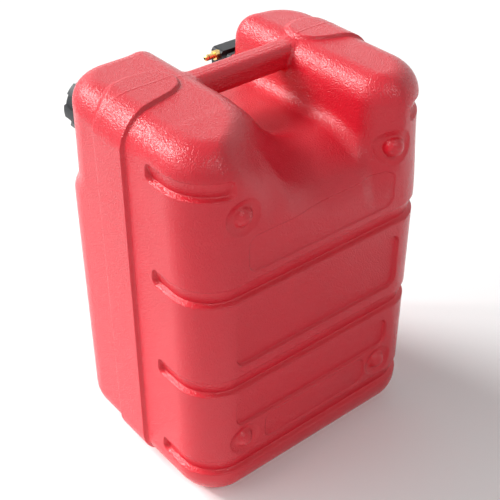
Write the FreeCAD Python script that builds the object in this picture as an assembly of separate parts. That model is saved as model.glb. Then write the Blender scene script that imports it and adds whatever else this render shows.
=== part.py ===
import FreeCAD, Part
import math
import os

# Portable outboard fuel tank, 12 litres, standing upright with its carrying handle on top.
# Millimetres. +Z is up, X runs along the handle, +Y is the broad face with the four feet and
# -Y is the broad face with the filler cap and the fuel outlet. The origin is under the middle
# of the base. "Depth" w is the distance in front of the origin, w = -y, for all front fittings.

Vec = FreeCAD.Vector

# ---- moulded body -------------------------------------------------------------------------
body_width = 260.0
body_depth = 209.0
body_height = 365.0
wall = 3.5
plan_radius = 40.0
bottom_radius = 26.0
top_radius = 27.0
top_front_radius = 22.0
front_setback = 9.5
setback_drop = 97.0
setback_ramp = 23.0

# ---- hand recess and handle ---------------------------------------------------------------
recess_left = 30.0
recess_right = -56.0
recess_depth = 52.0
recess_floor_radius = 12.0
recess_edge_radius = 22.0
recess_front_corner = 15.0
recess_left_corner = 24.0
recess_right_corner = 8.0
recess_front_radius = 18.0
flare_start = 22.0
flare_angle = 14.5
bowl_margin = 8.0
bowl_depth = 9.0
bowl_start = -3.0
bowl_exit = 33.0
handle_y = -23.0
handle_width = 24.0
handle_thickness = 22.5
handle_radius = 8.0
handle_drop = 3.0
handle_root = 26.0

# ---- raised band, grooves, panels and feet ------------------------------------------------
band_proud = 3.0
band_reach = 12.0
oval_shoulder = 9.0
oval_bulge = 4.5
oval_inner_left = 56.0
oval_inner_right = -87.0
oval_y = -23.0
oval_half_width = 22.5
band_side_y = -8.0
band_half_width = 19.5
groove_height = 15.0
groove_depth = 5.0
groove_side_y = 40.5
back_groove_ledges = (227.5, 131.0, 36.0)
corner_groove_drop = 38.5
corner_groove_side_y = 45.0
corner_groove_reach = 37.0
front_groove_ledges = (176.0, 96.0)
front_groove_height = 12.0
front_groove_inset = 46.0
front_groove_depth = 4.0
panel_top_inset = 50.0
panel_top_drop = 81.0
panel_top_height = 34.0
panel_top_depth = 1.0
panel_middle = (-92.0, 93.0, 157.0, 213.0, 3.0)
panel_low = (-86.0, 94.0, 88.0, 119.0, 2.5)
panel_foot = (-60.0, 62.0, 54.0, 84.0, 1.0)
panel_corner = 9.0
foot_base_radius = 12.0
foot_height = 4.0
feet_upper_drop = 59.0
feet_lower_z = 69.5
foot_left_inset = 45.0
foot_right_inset = 51.0

# ---- filler neck and cap ------------------------------------------------------------------
filler_inset = 52.0
filler_drop = 56.0
neck_bore = 17.8
neck_wall = 3.1
neck_length = 23.5
thread_pitch = 6.0
thread_height = 1.5
thread_root_width = 2.6
thread_crest_width = 1.4
thread_turns = 1.6
thread_clearance = 0.4
thread_start = 10.5
cap_gap_below = 4.5
cap_gasket_thickness = 2.0
cap_top_thickness = 4.0
cap_wall = 2.3
cap_lobes = 8
cap_lobe_height = 2.9
cap_lobe_angle = 23.0
cap_chamfer = 1.6
seat_gap = 0.05

# ---- vent screw in the cap ----------------------------------------------------------------
vent_shank_radius = 3.0
vent_shank_gap = 0.08
vent_knob_radius = 8.0
vent_knob_height = 7.0
vent_flutes = 10
vent_flute_radius = 1.3
vent_seal_radius = 4.4
vent_seal_wire = 0.9
vent_recess_radius = 10.0
vent_recess_depth = 1.5
vent_clip_radius = 4.6
vent_clip_thickness = 1.0
vent_lift = 2.0

# ---- fuel outlet and gauge head -----------------------------------------------------------
gauge_inset = 46.0
gauge_drop = 63.0
port_radius = 15.0
pad_half_width = 25.0
pad_half_height = 21.0
pad_rise = 2.0
pad_root = 5.0
gasket_thickness = 1.5
flange_thickness = 4.0
flange_half_height = 20.0
head_gap = 4.0
hood_thickness = 14.5
hood_left = 28.0
hood_right = -26.0
hood_half_height = 22.0
hood_corner = 4.0
hood_leg = 5.5
plug_gap = 0.2
plug_length = 10.5
screw_places = ((-20.0, 15.0), (-20.0, -16.0), (20.0, -16.0), (20.0, 6.0))
screw_radius = 2.0
screw_gap = 0.05
screw_hole_gap = 0.25
screw_head_radius = 3.9
screw_head_height = 2.6
screw_head_gap = 0.3
screw_head_depth = 13.0
insert_radius = 3.2
insert_length = 9.0
boss_radius = 4.8
boss_length = 13.0

# ---- gauge --------------------------------------------------------------------------------
dial_v = -4.0
well_radius = 12.0
well_depth = 6.5
dial_thickness = 0.8
lens_radius = 13.0
lens_thickness = 1.5
lens_gap = 0.05
bezel_height = 1.0
bezel_width = 1.4
needle_height = 1.2
needle_length = 9.0
shaft_radius = 1.0
shaft_gap = 0.06
pivot_radius = 0.8
strip_width = 5.4
strip_thickness = 0.5
strip_twist = 2.0
strip_wall_gap = 23.0
collar_radius = 2.2
collar_length = 1.4
rod_radius = 1.0
rod_offset = 6.0
rod_gap = 0.35
rod_socket = 6.0
foot_plate_thickness = 4.0
foot_plate_half_width = 3.6
float_radius = 8.3
float_length = 16.0
float_bore = 3.4
driver_radius = 4.4
driver_thickness = 1.0
driver_slot_gap = 0.4
float_foot_gap = 18.0

# ---- fuel pick-up and outlet --------------------------------------------------------------
tube_v = 9.5
tube_radius = 3.5
tube_bore = 2.5
tube_socket = 12.0
tube_wall_gap = 8.0
tube_clip_gap = 0.05
strainer_radius = 4.7
strainer_wall = 0.8
strainer_length = 12.5
strainer_below = 3.0
strainer_collar = 3.0
strainer_slots = 6
strainer_slot_width = 1.4
passage_radius = 1.8
passage_depth = 9.0
outlet_v = 17.5
outlet_shank_radius = 4.0
outlet_shank_length = 9.0
outlet_hex_flats = 9.0
outlet_hex_height = 4.0
outlet_nozzle_radius = 2.9
outlet_nozzle_length = 11.0
outlet_nose = 1.2
outlet_bore = 1.4
outlet_ring_place = 7.0
outlet_ring_wire = 0.5
guide_pin_v = -5.0
guide_pin_radius = 1.5
guide_pin_root_radius = 2.0
guide_pin_depth = 7.0
guide_pin_length = 14.0
guide_pin_groove = 0.4

half_width = body_width / 2.0
half_depth = body_depth / 2.0
front_w = half_depth - front_setback
setback_high = body_height - setback_drop
setback_low = setback_high - setback_ramp
recess_floor = body_height - recess_depth
handle_top = body_height - handle_drop
flare_end = recess_left + (half_depth - flare_start) * math.tan(math.radians(flare_angle))
corner_groove_ledge = body_height - corner_groove_drop
corner_groove_x = half_width - corner_groove_reach
front_groove_half = half_width - front_groove_inset
panel_top_half = half_width - panel_top_inset
panel_top_high = body_height - panel_top_drop
panel_top_low = panel_top_high - panel_top_height
panel_top = (-panel_top_half, panel_top_half, panel_top_low, panel_top_high, panel_top_depth)
feet_upper_z = body_height - feet_upper_drop
foot_left_x = half_width - foot_left_inset
foot_right_x = foot_right_inset - half_width
filler_x = half_width - filler_inset
filler_z = body_height - filler_drop
gauge_x = gauge_inset - half_width
gauge_z = body_height - gauge_drop
strip_end = half_depth - wall - strip_wall_gap
float_rest = strip_end - float_foot_gap
tube_end = half_depth - wall - tube_wall_gap
neck_radius = neck_bore + neck_wall
neck_top = front_w + neck_length
thread_radius = neck_radius + thread_height
cap_bore = thread_radius + thread_clearance
cap_base = front_w + cap_gap_below
cap_roof = neck_top + cap_gasket_thickness + 2.0 * seat_gap
cap_top = cap_roof + cap_top_thickness
cap_root_radius = cap_bore + cap_wall
cap_radius = cap_root_radius + cap_lobe_height
vent_floor = cap_top - vent_recess_depth
vent_knob_base = vent_floor + 2.0 * vent_seal_wire + 2.0 * seat_gap
vent_clip_w = cap_roof - vent_lift - 0.3 - vent_clip_thickness
pad_w = front_w + pad_rise
flange_w = pad_w + gasket_thickness
hood_w = flange_w + flange_thickness + head_gap
hood_top = hood_w + hood_thickness
plug_w = flange_w - plug_length
screw_seat_w = hood_top - screw_head_depth
well_w = hood_top - well_depth
passage_w = hood_top - passage_depth
insert_w = pad_w - insert_length
foot_plate_w = -strip_end - 1.0


# ---- small helpers ------------------------------------------------------------------------
def rod(radius, length, place, direction=Vec(0, 0, 1)):
    return Part.makeCylinder(radius, length, place, direction)


def front_fitting(shape, x, z):
    """Turns a piece drawn along +Z so that it points out of the front face at (x, z)."""
    placed = shape.copy()
    placed.rotate(Vec(0, 0, 0), Vec(1, 0, 0), 90.0)
    placed.translate(Vec(x, 0, z))
    return placed


def rounded_wire(low_a, high_a, low_b, high_b, radius, height):
    """Rounded rectangle in the XY plane at the given height."""
    diagonal = radius * (1.0 - math.sqrt(0.5))
    edges = [
        Part.makeLine(Vec(low_a + radius, low_b, height), Vec(high_a - radius, low_b, height)),
        Part.Arc(Vec(high_a - radius, low_b, height), Vec(high_a - diagonal, low_b + diagonal, height),
                 Vec(high_a, low_b + radius, height)).toShape(),
        Part.makeLine(Vec(high_a, low_b + radius, height), Vec(high_a, high_b - radius, height)),
        Part.Arc(Vec(high_a, high_b - radius, height), Vec(high_a - diagonal, high_b - diagonal, height),
                 Vec(high_a - radius, high_b, height)).toShape(),
        Part.makeLine(Vec(high_a - radius, high_b, height), Vec(low_a + radius, high_b, height)),
        Part.Arc(Vec(low_a + radius, high_b, height), Vec(low_a + diagonal, high_b - diagonal, height),
                 Vec(low_a, high_b - radius, height)).toShape(),
        Part.makeLine(Vec(low_a, high_b - radius, height), Vec(low_a, low_b + radius, height)),
        Part.Arc(Vec(low_a, low_b + radius, height), Vec(low_a + diagonal, low_b + diagonal, height),
                 Vec(low_a + radius, low_b, height)).toShape(),
    ]
    return Part.Wire(edges)


def rounded_prism(low_a, high_a, low_b, high_b, radius, base, length):
    wire = rounded_wire(low_a, high_a, low_b, high_b, radius, base)
    return Part.Face(wire).extrude(Vec(0, 0, length))


def fillet_level(solid, level, radius):
    """Rounds every edge of the solid that lies in the plane z = level."""
    edges = [edge for edge in solid.Edges
             if all(abs(vertex.Z - level) < 1e-6 for vertex in edge.Vertexes)]
    return solid.makeFillet(radius, edges)


def thread_ridge(root_radius, start, outward):
    """One helical ridge standing out of a neck, or into a cap when outward is -1."""
    helix = Part.makeHelix(thread_pitch, thread_pitch * thread_turns, root_radius)
    crest = root_radius + outward * thread_height
    root = root_radius - outward * 0.4
    profile = Part.makePolygon([
        Vec(root, 0, -thread_root_width / 2.0),
        Vec(crest, 0, -thread_crest_width / 2.0),
        Vec(crest, 0, thread_crest_width / 2.0),
        Vec(root, 0, thread_root_width / 2.0),
        Vec(root, 0, -thread_root_width / 2.0),
    ])
    ridge = Part.Wire(helix.Edges).makePipeShell([profile], True, True)
    ridge.translate(Vec(0, 0, start))
    return ridge


# ---- body form: the same shape is used outside and, inset by the wall, inside ---------------
def plan_wire(inset, height, setback):
    return rounded_wire(-half_width + inset, half_width - inset,
                        -half_depth + setback + inset, half_depth - inset,
                        plan_radius - inset, height)


def upper_block(inset, forward, edge_radius):
    """Upper part of the body, drawn out forwards by a length and rounded at the top."""
    top = body_height - inset
    base = Part.Face(plan_wire(inset, setback_high, front_setback - forward))
    block = base.extrude(Vec(0, 0, top - setback_high))
    return fillet_level(block, top, edge_radius - inset)


def plain_body(inset):
    """Rounded block whose upper front face stands back from the lower one."""
    lower = Part.Face(plan_wire(inset, inset, 0.0)).extrude(Vec(0, 0, setback_low - inset))
    lower = fillet_level(lower, inset, bottom_radius - inset)
    ramp = Part.makeLoft([plan_wire(inset, setback_low, 0.0),
                          plan_wire(inset, setback_high, front_setback)], True, True)
    upper = upper_block(inset, 0.0, top_front_radius)
    upper = upper.common(upper_block(inset, half_depth, top_radius))
    return lower.fuse([ramp, upper]).removeSplitter()


def recess_channel(inset):
    """Channel across the top, with rounded shoulders and a rounded floor."""
    left = recess_left
    right = recess_right
    top = body_height
    edge = recess_edge_radius
    floor = recess_floor_radius
    shoulder = edge - inset
    cove = floor + inset
    slant = math.sqrt(0.5)
    above = top + 30.0
    left_arc = Vec(left + edge, 0, top - edge)
    right_arc = Vec(right - edge, 0, top - edge)
    left_cove = Vec(left - floor, 0, recess_floor + floor)
    right_cove = Vec(right + floor, 0, recess_floor + floor)
    edges = [
        Part.makeLine(Vec(left_arc.x, 0, above), Vec(left_arc.x, 0, left_arc.z + shoulder)),
        Part.Arc(left_arc + Vec(0, 0, shoulder), left_arc + Vec(-slant * shoulder, 0, slant * shoulder),
                 left_arc + Vec(-shoulder, 0, 0)).toShape(),
        Part.makeLine(left_arc + Vec(-shoulder, 0, 0), left_cove + Vec(cove, 0, 0)),
        Part.Arc(left_cove + Vec(cove, 0, 0), left_cove + Vec(slant * cove, 0, -slant * cove),
                 left_cove + Vec(0, 0, -cove)).toShape(),
        Part.makeLine(left_cove + Vec(0, 0, -cove), right_cove + Vec(0, 0, -cove)),
        Part.Arc(right_cove + Vec(0, 0, -cove), right_cove + Vec(-slant * cove, 0, -slant * cove),
                 right_cove + Vec(-cove, 0, 0)).toShape(),
        Part.makeLine(right_cove + Vec(-cove, 0, 0), right_arc + Vec(shoulder, 0, 0)),
        Part.Arc(right_arc + Vec(shoulder, 0, 0), right_arc + Vec(slant * shoulder, 0, slant * shoulder),
                 right_arc + Vec(0, 0, shoulder)).toShape(),
        Part.makeLine(right_arc + Vec(0, 0, shoulder), Vec(right_arc.x, 0, above)),
        Part.makeLine(Vec(right_arc.x, 0, above), Vec(left_arc.x, 0, above)),
    ]
    channel = Part.Face(Part.Wire(edges)).extrude(Vec(0, body_depth + 40.0, 0))
    channel.translate(Vec(0, -half_depth - 20.0, 0))
    return channel


def recess_flare(inset):
    """The same channel again, turned so that the left wall leans outwards behind the handle."""
    flare = recess_channel(inset)
    flare.translate(Vec(-recess_left, half_depth + 20.0, 0))
    flare.rotate(Vec(0, 0, 0), Vec(0, 0, 1), -flare_angle)
    flare.translate(Vec(recess_left, flare_start, 0))
    return flare


def recess_corner(inset, side_x, out, face_y, into, radius, lean=0.0):
    """Rounds one upright end edge of the recess, at a wall that leans outwards by an angle in degrees.

    out and into point into the block, in X and Y.
    """
    angle = math.radians(lean)
    shift = radius * (1.0 / math.cos(angle) - math.tan(angle))
    centre = Vec(side_x + out * shift, face_y + into * radius, recess_floor - inset)
    start = centre - Vec(out * radius * math.cos(angle), into * radius * math.sin(angle), 0)
    reach = 1.25 * radius
    beyond = start + Vec(out * reach * math.tan(angle), -into * reach, 0)
    outline = Part.makePolygon([start, beyond, Vec(centre.x, beyond.y, centre.z),
                                Vec(centre.x, start.y, centre.z), start])
    height = body_height - centre.z
    return Part.Face(outline).extrude(Vec(0, 0, height)).cut(rod(radius - inset, height, centre))


def recess_bowl(inset):
    """Shallow finger bowl behind the handle, which rolls over into the back face."""
    floor = recess_floor
    low = recess_floor - bowl_depth
    curve = Part.BSplineCurve()
    curve.interpolate([
        Vec(0, bowl_start, floor),
        Vec(0, bowl_start + 14.0, floor - 0.7 * bowl_depth),
        Vec(0, bowl_start + 32.0, low),
        Vec(0, half_depth - 34.0, low),
        Vec(0, half_depth - 12.0, low - 5.0),
        Vec(0, half_depth, floor - bowl_exit),
    ])
    beyond = half_depth + 20.0
    edges = [
        curve.toShape(),
        Part.makeLine(Vec(0, half_depth, floor - bowl_exit), Vec(0, beyond, floor - bowl_exit)),
        Part.makeLine(Vec(0, beyond, floor - bowl_exit), Vec(0, beyond, floor + 15.0)),
        Part.makeLine(Vec(0, beyond, floor + 15.0), Vec(0, bowl_start, floor + 15.0)),
        Part.makeLine(Vec(0, bowl_start, floor + 15.0), Vec(0, bowl_start, floor)),
    ]
    low_x = recess_right + bowl_margin - inset
    high_x = recess_left - bowl_margin + inset
    bowl = Part.Face(Part.Wire(edges)).extrude(Vec(high_x - low_x, 0, 0))
    bowl.translate(Vec(low_x, -inset, -inset))
    return bowl


def recess_front_roll(inset):
    """Rounds the front end of the recess floor over into the front face."""
    radius = recess_front_radius
    centre_y = -front_w + radius
    centre_z = recess_floor - radius
    width = recess_left - recess_right + 2.0 * inset - 2.0 * recess_floor_radius
    low_x = recess_right - inset + recess_floor_radius
    corner = Part.makeBox(width, radius + 10.0, radius + 10.0,
                          Vec(low_x, centre_y - radius - 10.0, centre_z))
    barrel = rod(radius - inset, width, Vec(low_x, centre_y, centre_z), Vec(1, 0, 0))
    return corner.cut(barrel)


def handle_bar(inset):
    """Hollow carrying bar across the recess."""
    half = handle_width / 2.0 - inset
    top = handle_top - inset
    low = handle_top - handle_thickness + inset
    section = rounded_prism(handle_y - half, handle_y + half, low, top, handle_radius - inset, 0.0,
                            recess_left - recess_right + 2.0 * handle_root)
    section.rotate(Vec(0, 0, 0), Vec(1, 1, 1), 120.0)
    section.translate(Vec(recess_right - handle_root, 0, 0))
    return section


def wrap_groove(inset, ledge, low_x, high_x, side_y):
    """Stiffening groove round the back: a slope down to a sharp ledge."""
    low = ledge - inset
    high = ledge + groove_height
    core = Part.makeLoft([plan_wire(groove_depth + inset, low, 0.0), plan_wire(inset, high, 0.0)],
                         True, True)
    reach = Part.makeBox(high_x - low_x, half_depth + 20.0 - side_y, high - low,
                         Vec(low_x, side_y - inset, low))
    return reach.cut(core)


def back_grooves(inset):
    far = half_width + 20.0
    tools = [wrap_groove(inset, ledge, -far, far, groove_side_y) for ledge in back_groove_ledges]
    corner_x = corner_groove_x - inset
    tools.append(wrap_groove(inset, corner_groove_ledge, corner_x, far, corner_groove_side_y))
    tools.append(wrap_groove(inset, corner_groove_ledge, -far, -corner_x, corner_groove_side_y))
    return tools


def front_grooves(inset):
    """Two straight stiffening grooves low on the front face."""
    tools = []
    for ledge in front_groove_ledges:
        groove = rounded_prism(-front_groove_half - inset, front_groove_half + inset,
                               ledge - inset, ledge + front_groove_height + inset,
                               front_groove_height / 2.0 - 0.5 + inset,
                               half_depth - front_groove_depth - inset, front_groove_height * 2.0)
        tools.append(front_fitting(groove, 0.0, 0.0))
    return tools


def back_panel(panel, inset):
    """Shallow rounded panel let into the back face."""
    low_x, high_x, low_z, high_z, depth = panel
    plate = rounded_prism(-high_x - inset, -low_x + inset, low_z - inset, high_z + inset,
                          panel_corner + inset, half_depth - depth - inset, depth + inset + 20.0)
    plate.rotate(Vec(0, 0, 0), Vec(1, 0, 0), 90.0)
    plate.rotate(Vec(0, 0, 0), Vec(0, 0, 1), 180.0)
    return plate


def body_form(inset):
    form = plain_body(inset)
    tools = [recess_channel(inset), recess_bowl(inset), recess_front_roll(inset)]
    tools.append(recess_corner(inset, recess_left, 1.0, -front_w, 1.0, recess_front_corner))
    tools.append(recess_corner(inset, recess_right, -1.0, -front_w, 1.0, recess_front_corner))
    tools.append(recess_flare(inset))
    tools.append(recess_corner(inset, flare_end, 1.0, half_depth, -1.0, recess_left_corner,
                               flare_angle))
    tools.append(recess_corner(inset, recess_right, -1.0, half_depth, -1.0, recess_right_corner))
    tools += back_grooves(inset)
    tools += front_grooves(inset)
    tools.append(back_panel(panel_middle, inset))
    tools.append(back_panel(panel_low, inset))
    for tool in tools:
        form = form.cut(tool)
    return form.fuse(handle_bar(inset))


# ---- raised details on the outside ----------------------------------------------------------
def band_outline(side, oval_inner):
    """Outline of the raised parting band seen from above: an oval that widens out at one side."""
    outer = side * (half_width + band_reach)
    inner = side * oval_inner
    shoulder = side * half_width
    bend = inner + 0.55 * (shoulder - inner)
    near = Part.BSplineCurve()
    near.interpolate([
        Vec(inner, oval_y, 0),
        Vec(inner + side * oval_shoulder, oval_y + oval_half_width - oval_bulge, 0),
        Vec(bend, oval_y + oval_half_width + 6.0, 0),
        Vec(shoulder, band_side_y + band_half_width, 0),
    ], InitialTangent=Vec(0, 1, 0), FinalTangent=Vec(side, 0.0, 0))
    far = Part.BSplineCurve()
    far.interpolate([
        Vec(inner, oval_y, 0),
        Vec(inner + side * oval_shoulder, oval_y - oval_half_width + oval_bulge, 0),
        Vec(bend, oval_y - oval_half_width + 1.5, 0),
        Vec(shoulder, band_side_y - band_half_width, 0),
    ], InitialTangent=Vec(0, -1, 0), FinalTangent=Vec(side, 0.0, 0))
    edges = [
        near.toShape(),
        Part.makeLine(Vec(shoulder, band_side_y + band_half_width, 0),
                      Vec(outer, band_side_y + band_half_width, 0)),
        Part.makeLine(Vec(outer, band_side_y + band_half_width, 0),
                      Vec(outer, band_side_y - band_half_width, 0)),
        Part.makeLine(Vec(outer, band_side_y - band_half_width, 0),
                      Vec(shoulder, band_side_y - band_half_width, 0)),
        far.toShape(),
    ]
    return Part.Wire(Part.__sortEdges__(edges))


def raised_bands():
    swollen = plain_body(-band_proud)
    bands = []
    for side, inner in ((1.0, oval_inner_left), (-1.0, -oval_inner_right)):
        column = Part.Face(band_outline(side, inner)).extrude(Vec(0, 0, body_height + 20.0))
        bands.append(swollen.common(column))
    return bands


def rest_feet():
    """Four low domes on the back face, which the tank lies on in the boat."""
    ball = (foot_base_radius ** 2 + foot_height ** 2) / (2.0 * foot_height)
    centre_y = half_depth + foot_height - ball
    feet = []
    for x in (foot_left_x, foot_right_x):
        for z in (feet_upper_z, feet_lower_z):
            sphere = Part.makeSphere(ball, Vec(x, centre_y, z))
            keep = rod(foot_base_radius + foot_height, ball, Vec(x, half_depth - wall, z), Vec(0, 1, 0))
            feet.append(sphere.common(keep))
    return feet


def filler_neck():
    neck = rod(neck_radius, neck_length + wall, Vec(0, 0, front_w - wall))
    neck = neck.fuse(thread_ridge(neck_radius, front_w + thread_start, 1.0))
    return front_fitting(neck, filler_x, filler_z)


def gauge_seat():
    pad = rounded_prism(-pad_half_width, pad_half_width, -pad_half_height, pad_half_height,
                        hood_corner, front_w - pad_root, pad_rise + pad_root)
    for u, v in screw_places:
        pad = pad.fuse(rod(boss_radius, boss_length, Vec(u, v, pad_w - boss_length)))
    return front_fitting(pad, gauge_x, gauge_z)


def gauge_seat_holes():
    holes = rod(port_radius, boss_length + 10.0, Vec(0, 0, pad_w - boss_length - 5.0))
    for u, v in screw_places:
        holes = holes.fuse(rod(insert_radius, insert_length + 2.0, Vec(u, v, insert_w)))
    return front_fitting(holes, gauge_x, gauge_z)


def tank_shell():
    outer = body_form(0.0)
    outer = outer.fuse(raised_bands())
    outer = outer.cut(recess_channel(0.0)).fuse(handle_bar(0.0))
    for panel in (panel_top, panel_foot):
        outer = outer.cut(back_panel(panel, 0.0))
    outer = outer.fuse(rest_feet())
    below = Part.makeBox(2.0 * body_width, 2.0 * body_depth, bottom_radius,
                         Vec(-body_width, -body_depth, -bottom_radius))
    outer = outer.cut(below)
    shell = outer.cut(body_form(wall))
    shell = shell.fuse([filler_neck(), gauge_seat()])
    bore = rod(neck_bore, neck_length + 2.0 * wall, Vec(0, 0, front_w - 2.0 * wall))
    shell = shell.cut(front_fitting(bore, filler_x, filler_z))
    return shell.cut(gauge_seat_holes())


# ---- filler cap -----------------------------------------------------------------------------
def lobed_wire(root, crest, count, lobe_angle, height):
    """Circle of the root radius with evenly spaced square-shouldered grip lobes."""
    def at(radius, degrees):
        angle = math.radians(degrees)
        return Vec(radius * math.cos(angle), radius * math.sin(angle), height)

    step = 360.0 / count
    half = lobe_angle / 2.0
    edges = []
    for index in range(count):
        middle = index * step
        edges.append(Part.Arc(at(crest, middle - half), at(crest, middle),
                              at(crest, middle + half)).toShape())
        edges.append(Part.makeLine(at(crest, middle + half), at(root, middle + half + 1.5)))
        edges.append(Part.Arc(at(root, middle + half + 1.5), at(root, middle + step / 2.0),
                              at(root, middle + step - half - 1.5)).toShape())
        edges.append(Part.makeLine(at(root, middle + step - half - 1.5),
                                   at(crest, middle + step - half)))
    return Part.Wire(edges)


def filler_cap():
    height = cap_top - cap_base
    body = Part.Face(lobed_wire(cap_root_radius, cap_radius, cap_lobes, cap_lobe_angle,
                                cap_base)).extrude(Vec(0, 0, height))
    trim = rod(cap_radius + 1.0, height - cap_chamfer, Vec(0, 0, cap_base))
    crown = Part.makeCone(cap_radius + 0.2, cap_radius + 0.2 - 2.0 * cap_chamfer, cap_chamfer,
                          Vec(0, 0, cap_top - cap_chamfer))
    body = body.common(trim.fuse(crown))
    body = body.cut(rod(cap_bore, cap_roof - cap_base, Vec(0, 0, cap_base)))
    body = body.cut(rod(vent_recess_radius, vent_recess_depth + 1.0, Vec(0, 0, vent_floor)))
    body = body.cut(rod(vent_shank_radius + vent_shank_gap, height, Vec(0, 0, cap_base)))
    start = front_w + thread_start - thread_pitch / 2.0
    body = body.fuse(thread_ridge(cap_bore, start, -1.0))
    return front_fitting(body, filler_x, filler_z)


def cap_gasket():
    ring = rod(thread_radius - 0.2, cap_gasket_thickness, Vec(0, 0, neck_top + seat_gap))
    ring = ring.cut(rod(neck_bore - 1.0, cap_gasket_thickness + 2.0, Vec(0, 0, neck_top - 1.0)))
    return front_fitting(ring, filler_x, filler_z)


def vent_screw():
    knob = rod(vent_knob_radius, vent_knob_height, Vec(0, 0, vent_knob_base))
    for index in range(vent_flutes):
        angle = 2.0 * math.pi * index / vent_flutes
        place = Vec(vent_knob_radius * math.cos(angle), vent_knob_radius * math.sin(angle),
                    vent_knob_base)
        knob = knob.cut(rod(vent_flute_radius, vent_knob_height, place))
    length = vent_knob_base - vent_clip_w + 1.5
    shank = rod(vent_shank_radius, length, Vec(0, 0, vent_knob_base - length))
    neck = rod(vent_shank_radius + 1.0, vent_clip_thickness, Vec(0, 0, vent_clip_w))
    neck = neck.cut(rod(vent_shank_radius - 0.6, vent_clip_thickness, Vec(0, 0, vent_clip_w)))
    screw = knob.fuse(shank).cut(neck)
    return front_fitting(screw, filler_x, filler_z)


def vent_clip():
    """Spring clip that keeps the vent screw from coming right out."""
    clip = rod(vent_clip_radius, vent_clip_thickness, Vec(0, 0, vent_clip_w))
    clip = clip.cut(rod(vent_shank_radius - 0.6, vent_clip_thickness, Vec(0, 0, vent_clip_w)))
    gap = Part.makeBox(vent_clip_radius, 3.2, vent_clip_thickness, Vec(0, -1.6, vent_clip_w))
    return front_fitting(clip.cut(gap), filler_x, filler_z)


def vent_seal():
    centre = vent_floor + seat_gap + vent_seal_wire
    ring = Part.makeTorus(vent_seal_radius, vent_seal_wire, Vec(0, 0, centre))
    return front_fitting(ring, filler_x, filler_z)


# ---- outlet and gauge head ------------------------------------------------------------------
def head_gasket():
    sheet = rounded_prism(-pad_half_width, pad_half_width, -pad_half_height, pad_half_height,
                          hood_corner, pad_w, gasket_thickness)
    sheet = sheet.cut(rod(port_radius, gasket_thickness, Vec(0, 0, pad_w)))
    for u, v in screw_places:
        sheet = sheet.cut(rod(screw_radius + screw_hole_gap, gasket_thickness, Vec(u, v, pad_w)))
    return front_fitting(sheet, gauge_x, gauge_z)


def gauge_head():
    """Moulded head: flange and plug in the tank port, hood over it, and the fuel passages."""
    hood = rounded_prism(hood_right, hood_left, -hood_half_height, hood_half_height, hood_corner,
                         hood_w, hood_thickness)
    leg = Part.makeBox(hood_leg, hood_half_height, hood_w - flange_w,
                       Vec(hood_left - hood_leg, -hood_corner, flange_w))
    flange = rounded_prism(-pad_half_width, pad_half_width, -flange_half_height, flange_half_height,
                           hood_corner, flange_w, flange_thickness)
    plug = rod(port_radius - plug_gap, plug_length + flange_thickness + head_gap, Vec(0, 0, plug_w))
    head = hood.fuse([leg, flange, plug])
    for u, v in screw_places:
        head = head.fuse(rod(boss_radius - 0.3, head_gap, Vec(u, v, flange_w + flange_thickness)))
    for u, v in screw_places:
        head = head.cut(rod(screw_radius + screw_hole_gap, hood_top - flange_w, Vec(u, v, flange_w)))
        head = head.cut(rod(screw_head_radius + screw_head_gap, screw_head_depth,
                            Vec(u, v, screw_seat_w)))
    head = head.cut(rod(well_radius, well_depth, Vec(0, dial_v, well_w)))
    head = head.cut(rod(lens_radius + lens_gap, lens_thickness + bezel_height,
                        Vec(0, dial_v, hood_top - lens_thickness - bezel_height)))
    head = head.cut(rod(shaft_radius + shaft_gap, well_w - plug_w, Vec(0, dial_v, plug_w)))
    head = head.cut(rod(tube_radius, tube_socket, Vec(0, tube_v, plug_w)))
    head = head.cut(rod(passage_radius, passage_w - plug_w, Vec(0, tube_v, plug_w)))
    head = head.cut(rod(passage_radius, outlet_v - tube_v, Vec(0, tube_v, passage_w), Vec(0, 1, 0)))
    head = head.cut(rod(passage_radius, hood_left, Vec(0, outlet_v, passage_w), Vec(1, 0, 0)))
    head = head.cut(rod(outlet_shank_radius, outlet_shank_length,
                        Vec(hood_left - outlet_shank_length, outlet_v, passage_w), Vec(1, 0, 0)))
    head = head.cut(rod(guide_pin_root_radius, guide_pin_depth,
                        Vec(hood_left - guide_pin_depth, guide_pin_v, passage_w), Vec(1, 0, 0)))
    for offset in (-rod_offset, rod_offset):
        head = head.cut(rod(rod_radius, rod_socket, Vec(0, dial_v + offset, plug_w)))
    return front_fitting(head, gauge_x, gauge_z)


def head_screws():
    """Four pan-head screws with crossed slots, one group."""
    screws = []
    for u, v in screw_places:
        head = rod(screw_head_radius, screw_head_height, Vec(u, v, screw_seat_w))
        head = fillet_level(head, screw_seat_w + screw_head_height, 1.2)
        shank_end = insert_w + 0.5
        shank = rod(screw_radius, screw_seat_w - shank_end, Vec(u, v, shank_end))
        screw = head.fuse(shank)
        slot_base = screw_seat_w + screw_head_height - 1.3
        for turn in (0.0, 90.0):
            slot = Part.makeBox(4.4, 0.9, 3.0, Vec(-2.2, -0.45, 0))
            slot.rotate(Vec(0, 0, 0), Vec(0, 0, 1), turn)
            slot.translate(Vec(u, v, slot_base))
            screw = screw.cut(slot)
        screws.append(front_fitting(screw, gauge_x, gauge_z))
    return Part.makeCompound(screws)


def screw_inserts():
    """Four brass inserts moulded into the tank, one group."""
    inserts = []
    for u, v in screw_places:
        sleeve = rod(insert_radius, insert_length, Vec(u, v, insert_w))
        sleeve = sleeve.cut(rod(screw_radius + screw_gap, insert_length, Vec(u, v, insert_w)))
        inserts.append(front_fitting(sleeve, gauge_x, gauge_z))
    return Part.makeCompound(inserts)


# ---- gauge ----------------------------------------------------------------------------------
def gauge_dial():
    disc = rod(well_radius - 0.2, dial_thickness, Vec(0, dial_v, well_w))
    disc = disc.cut(rod(shaft_radius + 0.4, dial_thickness, Vec(0, dial_v, well_w)))
    return front_fitting(disc, gauge_x, gauge_z)


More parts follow.
